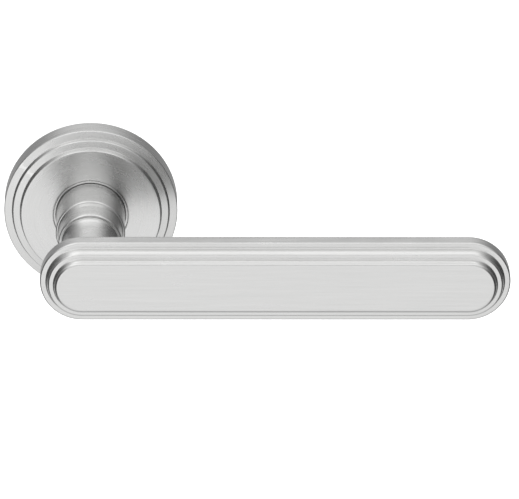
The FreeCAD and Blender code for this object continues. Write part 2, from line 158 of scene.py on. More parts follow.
class SpringSizes(bpy.types.PropertyGroup):
    """Wound wire of the return spring."""

    wire_radius: length_property("Wire radius", 0.85, "Radius of the wire")
    coil_radius: length_property("Coil radius", 13.7, "Mean radius of the coils")
    pitch: length_property("Pitch", 1.76, "Height between one coil and the next")
    start_height: length_property("Start height", 2.55, "Height of the wire at the fixed leg")
    start_angle: angle_property("Start angle", 33.6, "Where the fixed leg leaves the coil")
    end_angle: angle_property("End angle", 83.2, "Where the moving leg leaves the coil")
    bend_radius: length_property("Bend radius", 1.6, "Radius of the bend into each leg")
    leg_end: length_property("Leg end", 18.4, "Distance from the axis to the end of each leg")


class WoodScrewSizes(bpy.types.PropertyGroup):
    """One countersunk wood screw; its length and place come from its box."""

    head_radius: length_property("Head radius", 3.2, "Radius of the countersunk head")
    shank_radius: length_property("Shank radius", 1.75, "Radius of the plain shank and the thread's crest")
    core_radius: length_property("Core radius", 1.15, "Radius at the thread's root")
    pitch: length_property("Pitch", 1.35, "Distance from one thread to the next")
    shank_reach: length_property("Shank reach", 3.5, "How far the plain shank reaches into the door")
    point_length: length_property("Point length", 2.4, "Length of the point")
    first_angle: angle_property("First angle", 60, "Place of the first screw round the spindle's axis")
    slot_width: length_property("Slot width", 0.8, "Width of each driver slot")
    slot_depth: length_property("Slot depth", 1.1, "Depth of each driver slot")
    slot_length: share_property("Slot length", 4.2, "Length of each driver slot, in slot widths")


class BoltPostSizes(bpy.types.PropertyGroup):
    """One flanged bolt post; its length and place come from its box."""

    post_radius: length_property("Post radius", 3.4, "Radius of the post")
    crest_radius: length_property("Crest radius", 1.65, "Radius at the thread's crest")
    root_radius: length_property("Root radius", 2.0, "Radius at the thread's root")
    pitch: length_property("Pitch", 0.7, "Distance from one thread to the next")
    flange_start: length_property("Flange start", 1.6, "Height where the flange lies on the base's floor")


class SpindleSizes(bpy.types.PropertyGroup):
    """Details of the square spindle."""

    chamfer: length_property("Chamfer", 0.8, "Width and length of the chamfer at each end")
    edge_round: length_property("Edge rounding", 0.25, "Radius of the drawn edges")


class FinishColours(bpy.types.PropertyGroup):
    """Colours of the handle's finishes."""

    satin_chrome: colour_property("Satin chrome", (0.70, 0.70, 0.695), "Brushed chrome plate")
    cast_zinc: colour_property("Cast zinc", (0.43, 0.44, 0.45), "Die-cast base")
    nylon: colour_property("Nylon", (0.80, 0.79, 0.74), "Natural nylon")
    plated_steel: colour_property("Plated steel", (0.60, 0.61, 0.63), "Bright zinc plate")
    pressed_steel: colour_property("Pressed steel", (0.46, 0.45, 0.43), "Hardened pressing")
    spring_steel: colour_property("Spring steel", (0.30, 0.30, 0.31), "Drawn wire and strip")
    black_steel: colour_property("Black steel", (0.035, 0.035, 0.038), "Black oxide")
    floor: colour_property("Floor", (0.90, 0.90, 0.90), "Pale studio floor")


class StudioSettings(bpy.types.PropertyGroup):
    """Camera and light."""

    azimuth: angle_property("Azimuth", -1.06, "Camera's turn round the handle")
    elevation: angle_property("Elevation", 24.27, "Camera's height above level")
    roll: angle_property("Roll", 0.46, "Camera's roll")
    distance: FloatProperty(name="Distance", description="Camera to the point it looks at", default=2.0,
                            unit="LENGTH")
    lens: FloatProperty(name="Lens", description="Focal length on a 36 mm sensor", default=466.26,
                        unit="CAMERA")
    target: FloatVectorProperty(name="Target", description="Point that the camera looks at",
                                default=(50.33 * MM, -30 * MM, -2.17 * MM), size=3, subtype="TRANSLATION")
    floor_drop: length_property("Floor drop", 250.0, "How far the floor lies below the spindle's axis")
    light: share_property("Light", 1.0, "Strength of the studio's light")


PROPERTY_GROUPS = {
    "handle_grip": GripSizes,
    "handle_neck": NeckSizes,
    "handle_rose": RoseSizes,
    "handle_spring": SpringSizes,
    "handle_wood_screws": WoodScrewSizes,
    "handle_bolt_posts": BoltPostSizes,
    "handle_spindle": SpindleSizes,
    "handle_colours": FinishColours,
    "handle_studio": StudioSettings,
}


# Modelling ---------------------------------------------------------------------------------------


def select_only(*objects):
    """Leave edit mode and select these objects, the first as the active one."""
    if bpy.context.mode != "OBJECT":
        bpy.ops.object.mode_set(mode="OBJECT")
    bpy.ops.object.select_all(action="DESELECT")
    for obj in objects:
        obj.select_set(True)
    if objects:
        bpy.context.view_layer.objects.active = objects[0]


def start_piece(name):
    """New mesh object at the origin, open in edit mode with one selected vertex."""
    select_only()
    bpy.ops.mesh.primitive_plane_add(size=MM)
    piece = bpy.context.object
    piece.name = piece.data.name = name
    bpy.ops.object.mode_set(mode="EDIT")
    bpy.ops.mesh.select_mode(type="VERT")
    bpy.ops.mesh.select_all(action="SELECT")
    bpy.ops.mesh.merge(type="CENTER")
    return piece


def finish_edit():
    """Merge doubles, turn faces outwards and leave edit mode."""
    bpy.ops.mesh.select_all(action="SELECT")
    bpy.ops.mesh.remove_doubles(threshold=CLOSE)
    bpy.ops.mesh.normals_make_consistent(inside=False)
    if bmesh.from_edit_mesh(bpy.context.object.data).calc_volume(signed=True) < 0:
        bpy.ops.mesh.flip_normals()
    bpy.ops.object.mode_set(mode="OBJECT")


def select_points(piece, test):
    """In edit mode, select only the vertices whose place passes the test."""
    bpy.ops.mesh.select_all(action="DESELECT")
    bpy.ops.object.mode_set(mode="OBJECT")
    for vertex in piece.data.vertices:
        vertex.select = test(vertex.co)
    bpy.ops.object.mode_set(mode="EDIT")


def select_faces(piece, test):
    """In edit mode, select only the faces whose centre passes the test."""
    bpy.ops.mesh.select_all(action="DESELECT")
    bpy.ops.object.mode_set(mode="OBJECT")
    for face in piece.data.polygons:
        face.select = test(face.center)
    bpy.ops.object.mode_set(mode="EDIT")


def extrude_by(offset):
    """Extrude the selection along an offset."""
    bpy.ops.mesh.extrude_region_move(TRANSFORM_OT_translate={"value": offset})


def draw_outline(piece, corners, closed, segments=6):
    """Draw edges through (radius, height, rounding) corners in the plane Z = 0, then round the corners."""
    corners = [(*corner, 0) if len(corner) == 2 else corner for corner in corners]
    first_r, first_h, _ = corners[0]
    bpy.ops.transform.translate(value=(first_r, -first_h, 0))
    here_r, here_h = first_r, first_h
    for radius, height, _ in corners[1:]:
        extrude_by((radius - here_r, here_h - height, 0))
        here_r, here_h = radius, height
    if closed:
        ends = (Vector((first_r, -first_h, 0)), Vector((here_r, -here_h, 0)))
        select_points(piece, lambda place: any((place - end).length < CLOSE for end in ends))
        bpy.ops.mesh.edge_face_add()
    for number, (radius, height, rounding) in enumerate(corners):
        if rounding == 0:
            continue
        corner = Vector((radius, -height, 0))
        before = Vector((corners[number - 1][0], -corners[number - 1][1], 0)) - corner
        following = corners[(number + 1) % len(corners)]
        after = Vector((following[0], -following[1], 0)) - corner
        reach = rounding / math.tan(before.angle(after) / 2)
        select_points(piece, lambda place: (place - corner).length < CLOSE)
        bpy.ops.mesh.bevel(offset=reach, offset_type="OFFSET", segments=segments, affect="VERTICES")
    for longest, cuts in ((3 * MM, 7), (0.7 * MM, 1)):
        subdivide_long_edges(piece, longest, cuts)
    bpy.ops.mesh.select_all(action="SELECT")


def subdivide_long_edges(piece, longest, cuts):
    """Divide the edges over a length, so that edge wear keeps to the edges."""
    bpy.ops.mesh.select_mode(type="EDGE")
    bpy.ops.mesh.select_all(action="DESELECT")
    bpy.ops.object.mode_set(mode="OBJECT")
    points = piece.data.vertices
    for edge in piece.data.edges:
        start, end = (points[number].co for number in edge.vertices)
        edge.select = (start - end).length > longest
    bpy.ops.object.mode_set(mode="EDIT")
    bpy.ops.mesh.subdivide(number_cuts=cuts)
    bpy.ops.mesh.select_mode(type="VERT")


def lathe(name, corners, closed=True, steps=192, segments=6):
    """Piece turned about the spindle's axis from an outline of (radius, height, rounding) corners."""
    piece = start_piece(name)
    draw_outline(piece, corners, closed, segments)
    bpy.ops.mesh.spin(steps=steps, angle=FULL_TURN, center=(0, 0, 0), axis=(0, 1, 0))
    finish_edit()
    return piece


def apply_modifier(piece, kind, **settings):
    """Add a modifier to a piece and apply it."""
    select_only(piece)
    modifier = piece.modifiers.new(kind.title(), kind)
    for name, value in settings.items():
        setattr(modifier, name, value)
    bpy.ops.object.modifier_apply(modifier=modifier.name)


def cut_away(piece, *cutters, operation="DIFFERENCE"):
    """Cut each cutter out of a piece, or join it on, and throw the cutters away."""
    for cutter in cutters:
        apply_modifier(piece, "BOOLEAN", operation=operation, object=cutter, solver="MANIFOLD")
        bpy.data.meshes.remove(cutter.data)


def smooth_shade(piece, sharp_degrees=35):
    """Smooth shading that keeps flat faces flat."""
    select_only(piece)
    bpy.ops.object.shade_smooth_by_angle(angle=math.radians(sharp_degrees))
    apply_modifier(piece, "WEIGHTED_NORMAL", keep_sharp=True, mode="FACE_AREA", weight=50)


def rod(name, radius, start, end, sides=64):
    """Plain cylinder between two points."""
    start, end = Vector(start), Vector(end)
    direction = end - start
    select_only()
    turn = direction.to_track_quat("Z", "Y").to_euler()
    bpy.ops.mesh.primitive_cylinder_add(vertices=sides, radius=radius, depth=direction.length,
                                        location=(start + end) / 2, rotation=turn)
    bpy.ops.object.transform_apply(location=True, rotation=True, scale=True)
    piece = bpy.context.object
    piece.name = piece.data.name = name
    return piece


def square_bar(name, side, low, high):
    """Square bar along the spindle's axis between two heights."""
    select_only()
    bpy.ops.mesh.primitive_cube_add(size=1, location=(0, -(low + high) / 2, 0))
    piece = bpy.context.object
    piece.name = piece.data.name = name
    piece.scale = (side, high - low, side)
    bpy.ops.object.transform_apply(location=True, rotation=True, scale=True)
    return piece


def hex_socket(across_flats, start, direction, depth):
    """Cutter for the socket of a hexagon key, a little proud of its mouth."""
    start, direction = Vector(start), Vector(direction)
    proud = direction * 0.2 * MM
    return rod("socket", across_flats / math.sqrt(3), start - proud, start + direction * depth, sides=6)


def thread_rod(name, radius, core_radius, pitch, low, high, steps=40):
    """Rod along the spindle's axis with a true helical thread, cut flat at two heights."""
    piece = start_piece(name)
    off_the_cut = pitch / steps / 2
    bpy.ops.transform.translate(value=(core_radius, pitch + off_the_cut - low, 0))
    ridge = (radius - core_radius, pitch * 0.375)
    extrude_by((ridge[0], -ridge[1], 0))
    extrude_by((0, -pitch * 0.125, 0))
    extrude_by((-ridge[0], -ridge[1], 0))
    extrude_by((0, -pitch * 0.125, 0))
    bpy.ops.object.mode_set(mode="OBJECT")
    turns = math.ceil((high - low) / pitch) + 2
    apply_modifier(piece, "SCREW", axis="Y", angle=FULL_TURN, screw_offset=-pitch, iterations=turns,
                   steps=steps, render_steps=steps, use_merge_vertices=True, merge_threshold=CLOSE)
    bpy.ops.object.mode_set(mode="EDIT")
    bpy.ops.mesh.select_all(action="SELECT")
    bpy.ops.mesh.remove_doubles(threshold=CLOSE)
    for height, side in ((low, 1), (high, -1)):
        bpy.ops.mesh.select_all(action="SELECT")
        bpy.ops.mesh.bisect(plane_co=(0, -height, 0), plane_no=(0, side, 0), use_fill=True,
                            clear_outer=True, threshold=CLOSE / 10)
    finish_edit()
    return piece


def place_along(piece, start, direction):
    """Turn a piece modelled along the spindle's axis to another direction and move it to its start."""
    select_only(piece)
    piece.rotation_mode = "QUATERNION"
    piece.rotation_quaternion = Vector((0, -1, 0)).rotation_difference(Vector(direction))
    piece.location = start
    bpy.ops.object.transform_apply(location=True, rotation=True, scale=True)


def copy_piece(piece, name, offset):
    """Copy of a piece with its own mesh, moved by an offset."""
    select_only(piece)
    bpy.ops.object.duplicate(linked=False)
    copy = bpy.context.object
    copy.name = copy.data.name = name
    copy.location = offset
    bpy.ops.object.transform_apply(location=True, rotation=True, scale=True)
    return copy


def join_pieces(name, pieces):
    """One object from several."""
    select_only(*pieces)
    bpy.ops.object.join()
    joined = bpy.context.object
    joined.name = joined.data.name = name
    return joined


def hand_over(piece, body, node, material):
    """A finished piece rides on its body, stands for its CAD node and takes its finish."""
    piece.data.materials.clear()
    piece.data.materials.append(material)
    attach(piece, body)
    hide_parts(node)


# Finishes ----------------------------------------------------------------------------------------


def add_node(tree, kind, links=None, **settings):
    """New shader node, with its settings, and its inputs set to values or linked to sockets."""
    node = tree.nodes.new(kind)
    for name, value in settings.items():
        setattr(node, name, value)
    for name, value in (links or {}).items():
        socket = node.inputs[name]
        if isinstance(value, bpy.types.NodeSocket):
            tree.links.new(value, socket)
        else:
            socket.default_value = value
    return node


def math_node(tree, operation, *values):
    """Result of a Math node."""
    return add_node(tree, "ShaderNodeMath", dict(enumerate(values)), operation=operation).outputs[0]


def new_group(name, inputs, outputs):
    """Empty shader node group with named float or vector sockets, and its input and output nodes."""
    group = bpy.data.node_groups.new(name, "ShaderNodeTree")
    for label, kind, default in inputs:
        socket = group.interface.new_socket(label, in_out="INPUT", socket_type=kind)
        if default is not None:
            socket.default_value = default
    for label in outputs:
        group.interface.new_socket(label, in_out="OUTPUT", socket_type="NodeSocketFloat")
    return group, group.nodes.new("NodeGroupInput"), group.nodes.new("NodeGroupOutput")


def noise(tree, vector, scale, detail=2.0, roughness=0.5):
    """Noise value from 0 to 1."""
    links = {"Vector": vector, "Scale": scale, "Detail": detail, "Roughness": roughness}
    return add_node(tree, "ShaderNodeTexNoise", links).outputs["Fac"]


def straight_lines_group():
    """Brush lines along X: a fine and a coarse set of long streaks."""
    tree, start, end = new_group(
        "straight_brush_lines",
        [("Vector", "NodeSocketVector", None), ("Lines per metre", "NodeSocketFloat", 4000.0),
         ("Streak length", "NodeSocketFloat", 0.03)],
        ["Lines", "Streaks"],
    )
    split = add_node(tree, "ShaderNodeSeparateXYZ", {0: start.outputs["Vector"]})
    along = math_node(tree, "DIVIDE", split.outputs["X"], start.outputs["Streak length"])
    for label, share, shift in (("Lines", 1.0, 0.0), ("Streaks", 0.16, 7.3)):
        across = math_node(tree, "MULTIPLY", start.outputs["Lines per metre"], share)
        place = add_node(tree, "ShaderNodeCombineXYZ", {
            "X": math_node(tree, "ADD", along, shift),
            "Y": math_node(tree, "MULTIPLY", split.outputs["Y"], across),
            "Z": math_node(tree, "MULTIPLY", split.outputs["Z"], across),
        })
        tree.links.new(noise(tree, place.outputs[0], 1.0, 3.0, 0.6), end.inputs[label])
    return tree


def turned_lines_group():
    """Brush lines round the Y axis: a fine and a coarse set of rings, broken up along the turn."""
    tree, start, end = new_group(
        "turned_brush_lines",
        [("Vector", "NodeSocketVector", None), ("Lines per metre", "NodeSocketFloat", 4000.0),
         ("Breaks", "NodeSocketFloat", 2.0)],
        ["Lines", "Streaks"],
    )
    split = add_node(tree, "ShaderNodeSeparateXYZ", {0: start.outputs["Vector"]})
    x_squared = math_node(tree, "POWER", split.outputs["X"], 2.0)
    z_squared = math_node(tree, "POWER", split.outputs["Z"], 2.0)
    radius = math_node(tree, "SQRT", math_node(tree, "ADD", x_squared, z_squared))
    safe_radius = math_node(tree, "MAXIMUM", radius, 0.1 * MM)
    cosine = math_node(tree, "DIVIDE", split.outputs["X"], safe_radius)
    sine = math_node(tree, "DIVIDE", split.outputs["Z"], safe_radius)
    ring_sum = math_node(tree, "ADD", radius, math_node(tree, "MULTIPLY", split.outputs["Y"], 1.31))
    for label, share, shift in (("Lines", 1.0, 0.0), ("Streaks", 0.16, 5.1)):
        across = math_node(tree, "MULTIPLY", start.outputs["Lines per metre"], share)
        place = add_node(tree, "ShaderNodeCombineXYZ", {
            "X": math_node(tree, "MULTIPLY", cosine, start.outputs["Breaks"]),
            "Y": math_node(tree, "MULTIPLY", ring_sum, across),
            "Z": math_node(tree, "ADD", math_node(tree, "MULTIPLY", sine, start.outputs["Breaks"]), shift),
        })
        tree.links.new(noise(tree, place.outputs[0], 1.0, 3.0, 0.6), end.inputs[label])
    return tree


def mottle_group():
    """Soft clouds, as plate and handling leave on a satin surface, and sparse fine specks."""
    tree, start, end = new_group(
        "mottle",
        [("Vector", "NodeSocketVector", None), ("Cloud size", "NodeSocketFloat", 0.012),
         ("Speck size", "NodeSocketFloat", 0.0006)],
        ["Clouds", "Specks"],
    )
    cloud_scale = math_node(tree, "DIVIDE", 1.0, start.outputs["Cloud size"])
    clouds = noise(tree, start.outputs["Vector"], cloud_scale, 4.0, 0.55)
    tree.links.new(clouds, end.inputs["Clouds"])
    speck_scale = math_node(tree, "DIVIDE", 1.0, start.outputs["Speck size"])
    grains = noise(tree, start.outputs["Vector"], speck_scale, 1.0, 0.5)
    specks = add_node(tree, "ShaderNodeMapRange", {"Value": grains, "From Min": 0.66, "From Max": 0.78})
    tree.links.new(specks.outputs[0], end.inputs["Specks"])
    return tree


def edge_polish_group():
    """Mask that is 1 on outer edges, which brushing and hands polish, and 0 on flats."""
    group, start, end = new_group(
        "edge_polish",
        [("From", "NodeSocketFloat", 0.52), ("To", "NodeSocketFloat", 0.62)],
        ["Mask"],
    )
    geometry = add_node(group, "ShaderNodeNewGeometry")
    mask = add_node(group, "ShaderNodeMapRange", {
        "Value": geometry.outputs["Pointiness"],
        "From Min": start.outputs["From"],
        "From Max": start.outputs["To"],
    })
    group.links.new(mask.outputs[0], end.inputs["Mask"])
    return group


GROUP_MAKERS = {
    "straight_brush_lines": straight_lines_group,
    "turned_brush_lines": turned_lines_group,
    "mottle": mottle_group,
    "edge_polish": edge_polish_group,
}


def place_group(tree, name, links=None):
    """Group node in a material, with its own values."""
    if name not in bpy.data.node_groups:
        GROUP_MAKERS[name]()
    return add_node(tree, "ShaderNodeGroup", links, node_tree=bpy.data.node_groups[name])


def blank_material(name):
    """Material with only an output and a Principled shader, and the piece's own coordinates."""
    material = bpy.data.materials.new(name)
    material.use_nodes = True
    tree = material.node_tree
    tree.nodes.clear()
    output = add_node(tree, "ShaderNodeOutputMaterial")
    shader = add_node(tree, "ShaderNodeBsdfPrincipled")
    tree.links.new(shader.outputs[0], output.inputs["Surface"])
    coordinates = add_node(tree, "ShaderNodeTexCoord").outputs["Object"]
    return material, tree, shader, coordinates


def shift_value(tree, value, centre, spread):
    """centre plus spread times a 0 to 1 value, so that 0.5 gives the centre."""
    low, high = centre - spread, centre + spread
    return add_node(tree, "ShaderNodeMapRange", {"Value": value, "To Min": low, "To Max": high}).outputs[0]


def tint(tree, colour, brightness):
    """A colour times a varying brightness."""
    node = add_node(tree, "ShaderNodeVectorMath", {0: tuple(colour), 1: brightness}, operation="MULTIPLY")
    return node.outputs[0]


def brushed_metal(name, colour, turned, roughness=0.25, anisotropy=0.6, lines_per_metre=4000.0,
                  line_depth=0.015 * MM, tone=0.03, edge_brighter=0.06, edge_smoother=0.08):
    """Brushed metal: shine drawn out across its brush lines, line relief, clouds and polished edges."""
    material, tree, shader, coordinates = blank_material(name)
    group_name = "turned_brush_lines" if turned else "straight_brush_lines"
    lines = place_group(tree, group_name, {"Vector": coordinates, "Lines per metre": lines_per_metre})
    mottle = place_group(tree, "mottle", {"Vector": coordinates})
    polish = place_group(tree, "edge_polish")
    brightness = math_node(
        tree, "MULTIPLY",
        shift_value(tree, lines.outputs["Streaks"], 1.0, tone * 2.5),
        shift_value(tree, mottle.outputs["Clouds"], 1.0, tone * 1.5),
    )
    fine = shift_value(tree, lines.outputs["Lines"], 1.0, tone * 2.0)
    brightness = math_node(tree, "MULTIPLY", brightness, fine)
    brightness = math_node(tree, "ADD", brightness,
                           math_node(tree, "MULTIPLY", polish.outputs["Mask"], edge_brighter))
    tree.links.new(tint(tree, colour, brightness), shader.inputs["Base Color"])
    rough = math_node(tree, "ADD",
                      shift_value(tree, lines.outputs["Streaks"], roughness, 0.05),
                      shift_value(tree, mottle.outputs["Clouds"], 0.0, 0.05))
    rough = math_node(tree, "SUBTRACT", rough,
                      math_node(tree, "MULTIPLY", polish.outputs["Mask"], edge_smoother))
    tree.links.new(rough, shader.inputs["Roughness"])
    bump = add_node(tree, "ShaderNodeBump", {
        "Strength": 0.35, "Distance": line_depth, "Height": lines.outputs["Lines"],
    })
    tree.links.new(bump.outputs[0], shader.inputs["Normal"])
    shader.inputs["Metallic"].default_value = 1.0
    shader.inputs["Anisotropic"].default_value = anisotropy
    shader.inputs["Anisotropic Rotation"].default_value = 0.25
    if turned:
        lines_run = add_node(tree, "ShaderNodeVectorMath", {0: (0, 1, 0), 1: coordinates},
                             operation="CROSS_PRODUCT").outputs[0]
    else:
        lines_run = (1, 0, 0)
    tangent = add_node(tree, "ShaderNodeVectorTransform", {0: lines_run}, vector_type="VECTOR",
                       convert_from="OBJECT", convert_to="WORLD")
    tree.links.new(tangent.outputs[0], shader.inputs["Tangent"])
    return material


def plain_metal(name, colour, roughness, grain_size, grain_depth, tone=0.08, edge_brighter=0.35,
                edge_smoother=0.12):
    """Metal without a brush direction: plated, cast or blackened, with grain, clouds and worn edges."""
    material, tree, shader, coordinates = blank_material(name)
    mottle = place_group(tree, "mottle", {"Vector": coordinates, "Cloud size": 0.004,
                                          "Speck size": grain_size})
    polish = place_group(tree, "edge_polish")
    grain = noise(tree, coordinates, 1 / grain_size, 3.0, 0.6)
    brightness = math_node(tree, "MULTIPLY",
                           shift_value(tree, mottle.outputs["Clouds"], 1.0, tone),
                           shift_value(tree, grain, 1.0, tone))
    brightness = math_node(tree, "ADD", brightness,
                           math_node(tree, "MULTIPLY", polish.outputs["Mask"], edge_brighter))
    tree.links.new(tint(tree, colour, brightness), shader.inputs["Base Color"])
    rough = math_node(tree, "SUBTRACT",
                      shift_value(tree, grain, roughness, 0.12),
                      math_node(tree, "MULTIPLY", polish.outputs["Mask"], edge_smoother))
    tree.links.new(rough, shader.inputs["Roughness"])
    bump = add_node(tree, "ShaderNodeBump", {
        "Strength": 0.5, "Distance": grain_depth, "Height": grain,
    })
    tree.links.new(bump.outputs[0], shader.inputs["Normal"])
    shader.inputs["Metallic"].default_value = 1.0
    return material


def moulded_nylon(name, colour):
    """Moulded nylon: faintly cloudy, fine moulded grain, soft shine."""
    material, tree, shader, coordinates = blank_material(name)
    mottle = place_group(tree, "mottle", {"Vector": coordinates, "Cloud size": 0.005})
    grain = noise(tree, coordinates, 5000, 2.0, 0.5)
    brightness = shift_value(tree, mottle.outputs["Clouds"], 1.0, 0.06)
    tree.links.new(tint(tree, colour, brightness), shader.inputs["Base Color"])
    tree.links.new(shift_value(tree, grain, 0.42, 0.12), shader.inputs["Roughness"])
    bump = add_node(tree, "ShaderNodeBump", {"Strength": 0.3, "Distance": 0.01 * MM, "Height": grain})
    tree.links.new(bump.outputs[0], shader.inputs["Normal"])
    shader.inputs["Subsurface Weight"].default_value = 0.1
    shader.inputs["Subsurface Scale"].default_value = MM
    return material


def finish(name):
    """The named finish, made the first time it is asked for."""
    if name in bpy.data.materials:
        return bpy.data.materials[name]
    colours = bpy.context.scene.handle_colours
    makers = {
        "brushed_grip": lambda: brushed_metal(name, colours.satin_chrome, turned=False),
        "turned_chrome": lambda: brushed_metal(name, colours.satin_chrome, turned=True),
        "turned_rose": lambda: brushed_metal(name, colours.satin_chrome, turned=True, roughness=0.27),
        "turned_steel": lambda: brushed_metal(name, colours.plated_steel, turned=True, roughness=0.25),
        "drawn_steel": lambda: plain_metal(name, colours.plated_steel, 0.3, 0.0004, 0.004 * MM),
        "cast_zinc": lambda: plain_metal(name, colours.cast_zinc, 0.5, 0.0005, 0.03 * MM),
        "pressed_steel": lambda: plain_metal(name, colours.pressed_steel, 0.42, 0.0006, 0.008 * MM),
        "spring_steel": lambda: plain_metal(name, colours.spring_steel, 0.3, 0.0003, 0.004 * MM),
        "black_steel": lambda: plain_metal(name, colours.black_steel, 0.4, 0.0003, 0.004 * MM),
        "nylon": lambda: moulded_nylon(name, colours.nylon),
    }
    return makers[name]()


# Operators ---------------------------------------------------------------------------------------


class HANDLE_OT_grip(bpy.types.Operator):
    """Model the grip: straight sides, round ends and two rounded steps up to its front panel"""

    bl_idname = "handle.grip"
    bl_label = "Grip"

    def execute(self, context):
        sizes = context.scene.handle_grip
        low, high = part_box("grip")
        half, back, front = high.z, -high.y, -low.y
        left_centre, right_centre = low.x + half, high.x - half
        foot_1 = half - sizes.outer_ledge
        top_1 = foot_1 - sizes.outer_riser_lean
        foot_2 = top_1 - sizes.outer_riser_round - sizes.inner_ledge
        piece = start_piece("grip_bar")
        draw_outline(piece, [
            (0, back),
            (half, back, sizes.back_round),
            (half, sizes.wall_front, sizes.edge_round),
            (foot_1, sizes.wall_front, sizes.foot_round),
            (top_1, sizes.step_front, sizes.outer_riser_round),
            (foot_2, sizes.step_front, sizes.foot_round),
            (foot_2 - sizes.inner_riser_lean, front, sizes.inner_riser_round),
            (0, front),
        ], closed=False, segments=8)
        bpy.ops.transform.translate(value=(right_centre, 0, 0))
        straight = right_centre - left_centre
        quarter_steps = 40
        self.sweep_end(quarter_steps, QUARTER, right_centre)
        extrude_by((-straight, 0, 0))
        self.sweep_end(2 * quarter_steps, 2 * QUARTER, left_centre)
        extrude_by((straight, 0, 0))
        self.sweep_end(quarter_steps, QUARTER, right_centre)
        finish_edit()
        smooth_shade(piece)
        hand_over(piece, LEVER_BODY, "grip", finish("brushed_grip"))
        return {"FINISHED"}

    def sweep_end(self, steps, angle, centre):
        """Turn the selected section about the axis of one round end."""
        bpy.ops.mesh.spin(steps=steps, angle=angle, center=(centre, 0, 0), axis=(0, 1, 0))


class HANDLE_OT_neck(bpy.types.Operator):
    """Turn the neck's drums and journal, and cut its square socket and grub screw hole"""

    bl_idname = "handle.neck"
    bl_label = "Neck"

    def execute(self, context):
        sizes = context.scene.handle_neck
        low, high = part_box("neck")
        back, front = -high.y, -low.y
        clip_low, clip_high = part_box("circlip")
        groove_r = sizes.journal_radius - sizes.groove_depth
        groove_start = -clip_high.y - sizes.groove_play
        groove_end = -clip_low.y + sizes.groove_play
        piece = lathe("neck_turning", [
            (0, back),
            (sizes.journal_radius, back, 0.15 * MM),
            (sizes.journal_radius, groove_start),
            (groove_r, groove_start),
            (groove_r, groove_end),
            (sizes.journal_radius, groove_end),
            (sizes.journal_radius, sizes.collar_start),
            (sizes.collar_radius, sizes.collar_start),
            (sizes.collar_radius, sizes.collar_end),
            (sizes.drum_1_radius, sizes.collar_end),
            (sizes.drum_1_radius, sizes.drum_1_end, sizes.edge_round),
            *self.flared_foot(sizes, sizes.drum_1_radius, sizes.drum_2_radius, sizes.drum_1_end),
            (sizes.drum_2_radius, sizes.drum_2_end, sizes.edge_round),
            *self.flared_foot(sizes, sizes.drum_2_radius, sizes.drum_3_radius, sizes.drum_2_end),
            (sizes.drum_3_radius, front),
            (0, front),
        ], closed=False)
        socket = square_bar("socket", sizes.socket_side, back - MM, sizes.socket_end)
        grub_start = (0, -sizes.grub_height, 0)
        grub_end = (0, -sizes.grub_height, -sizes.drum_1_radius - MM)
        grub_hole = rod("grub_hole", sizes.grub_radius, grub_start, grub_end)
        washer_low, washer_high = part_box("neck_screw_washer")
        head_bore = rod("head_bore", washer_high.x + 0.1 * MM, (0, -sizes.socket_end + MM, 0),
                        (0, washer_low.y, 0))
        shank_bore = rod("shank_bore", sizes.shank_bore_radius, (0, washer_low.y + MM, 0),
                         (0, -front - MM, 0))
        cut_away(piece, socket, grub_hole, head_bore, shank_bore)
        smooth_shade(piece)
        hand_over(piece, LEVER_BODY, "neck", finish("turned_chrome"))
        return {"FINISHED"}

    def flared_foot(self, sizes, step_radius, radius, start):
        """Corners of the long hollow curve that runs from a step down onto the next drum."""
        high, long = (step_radius - radius) * sizes.flare_share, sizes.flare_length
        return (
            (radius + high, start, 0.08 * MM),
            (radius + high * 0.35, start + long * 0.28, long * 1.4),
            (radius, start + long * 0.75, long * 4),
        )


class HANDLE_OT_rose_cover(bpy.types.Operator):
    """Turn the rose cover as a stepped shell and drill its set screw's hole"""

    bl_idname = "handle.rose_cover"
    bl_label = "Rose cover"

    def execute(self, context):
        sizes = context.scene.handle_rose
        low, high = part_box("rose_cover")
        radius, front = high.x, -low.y
        shell = sizes.shell
        piece = lathe("rose_cover_shell", [
            (radius, 0, 0.2 * MM),
            (radius, sizes.wall_height - sizes.tread_fall, sizes.edge_round),
            (sizes.step_1_radius, sizes.wall_height, sizes.foot_round),
            (sizes.step_1_radius - sizes.riser_lean, sizes.step_1_height - sizes.tread_fall,
             sizes.step_round),
            (sizes.step_2_radius, sizes.step_1_height, sizes.foot_round),
            (sizes.step_2_radius - sizes.riser_lean, front, sizes.step_round),
            (sizes.hole_radius, front, 0.2 * MM),
            (sizes.hole_radius, front - shell),
            (sizes.step_2_radius - shell, front - shell, 0.3 * MM),
            (sizes.step_2_radius - shell, sizes.step_1_height - shell),
            (sizes.step_1_radius - shell, sizes.step_1_height - shell, 0.3 * MM),
            (sizes.step_1_radius - shell, sizes.wall_height - shell),
            (sizes.rim_inner_radius, sizes.wall_height - shell, 0.3 * MM),
            (sizes.rim_inner_radius, 0),
        ], steps=256)
        screw_low, screw_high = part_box("cover_set_screw")
        height = -(screw_low.y + screw_high.y) / 2
        hole = rod("hole", screw_high.x, (0, -height, -radius + 3 * MM), (0, -height, -radius - MM))
        cut_away(piece, hole)
        smooth_shade(piece)
        hand_over(piece, ROSE_BODY, "rose_cover", finish("turned_rose"))
        return {"FINISHED"}


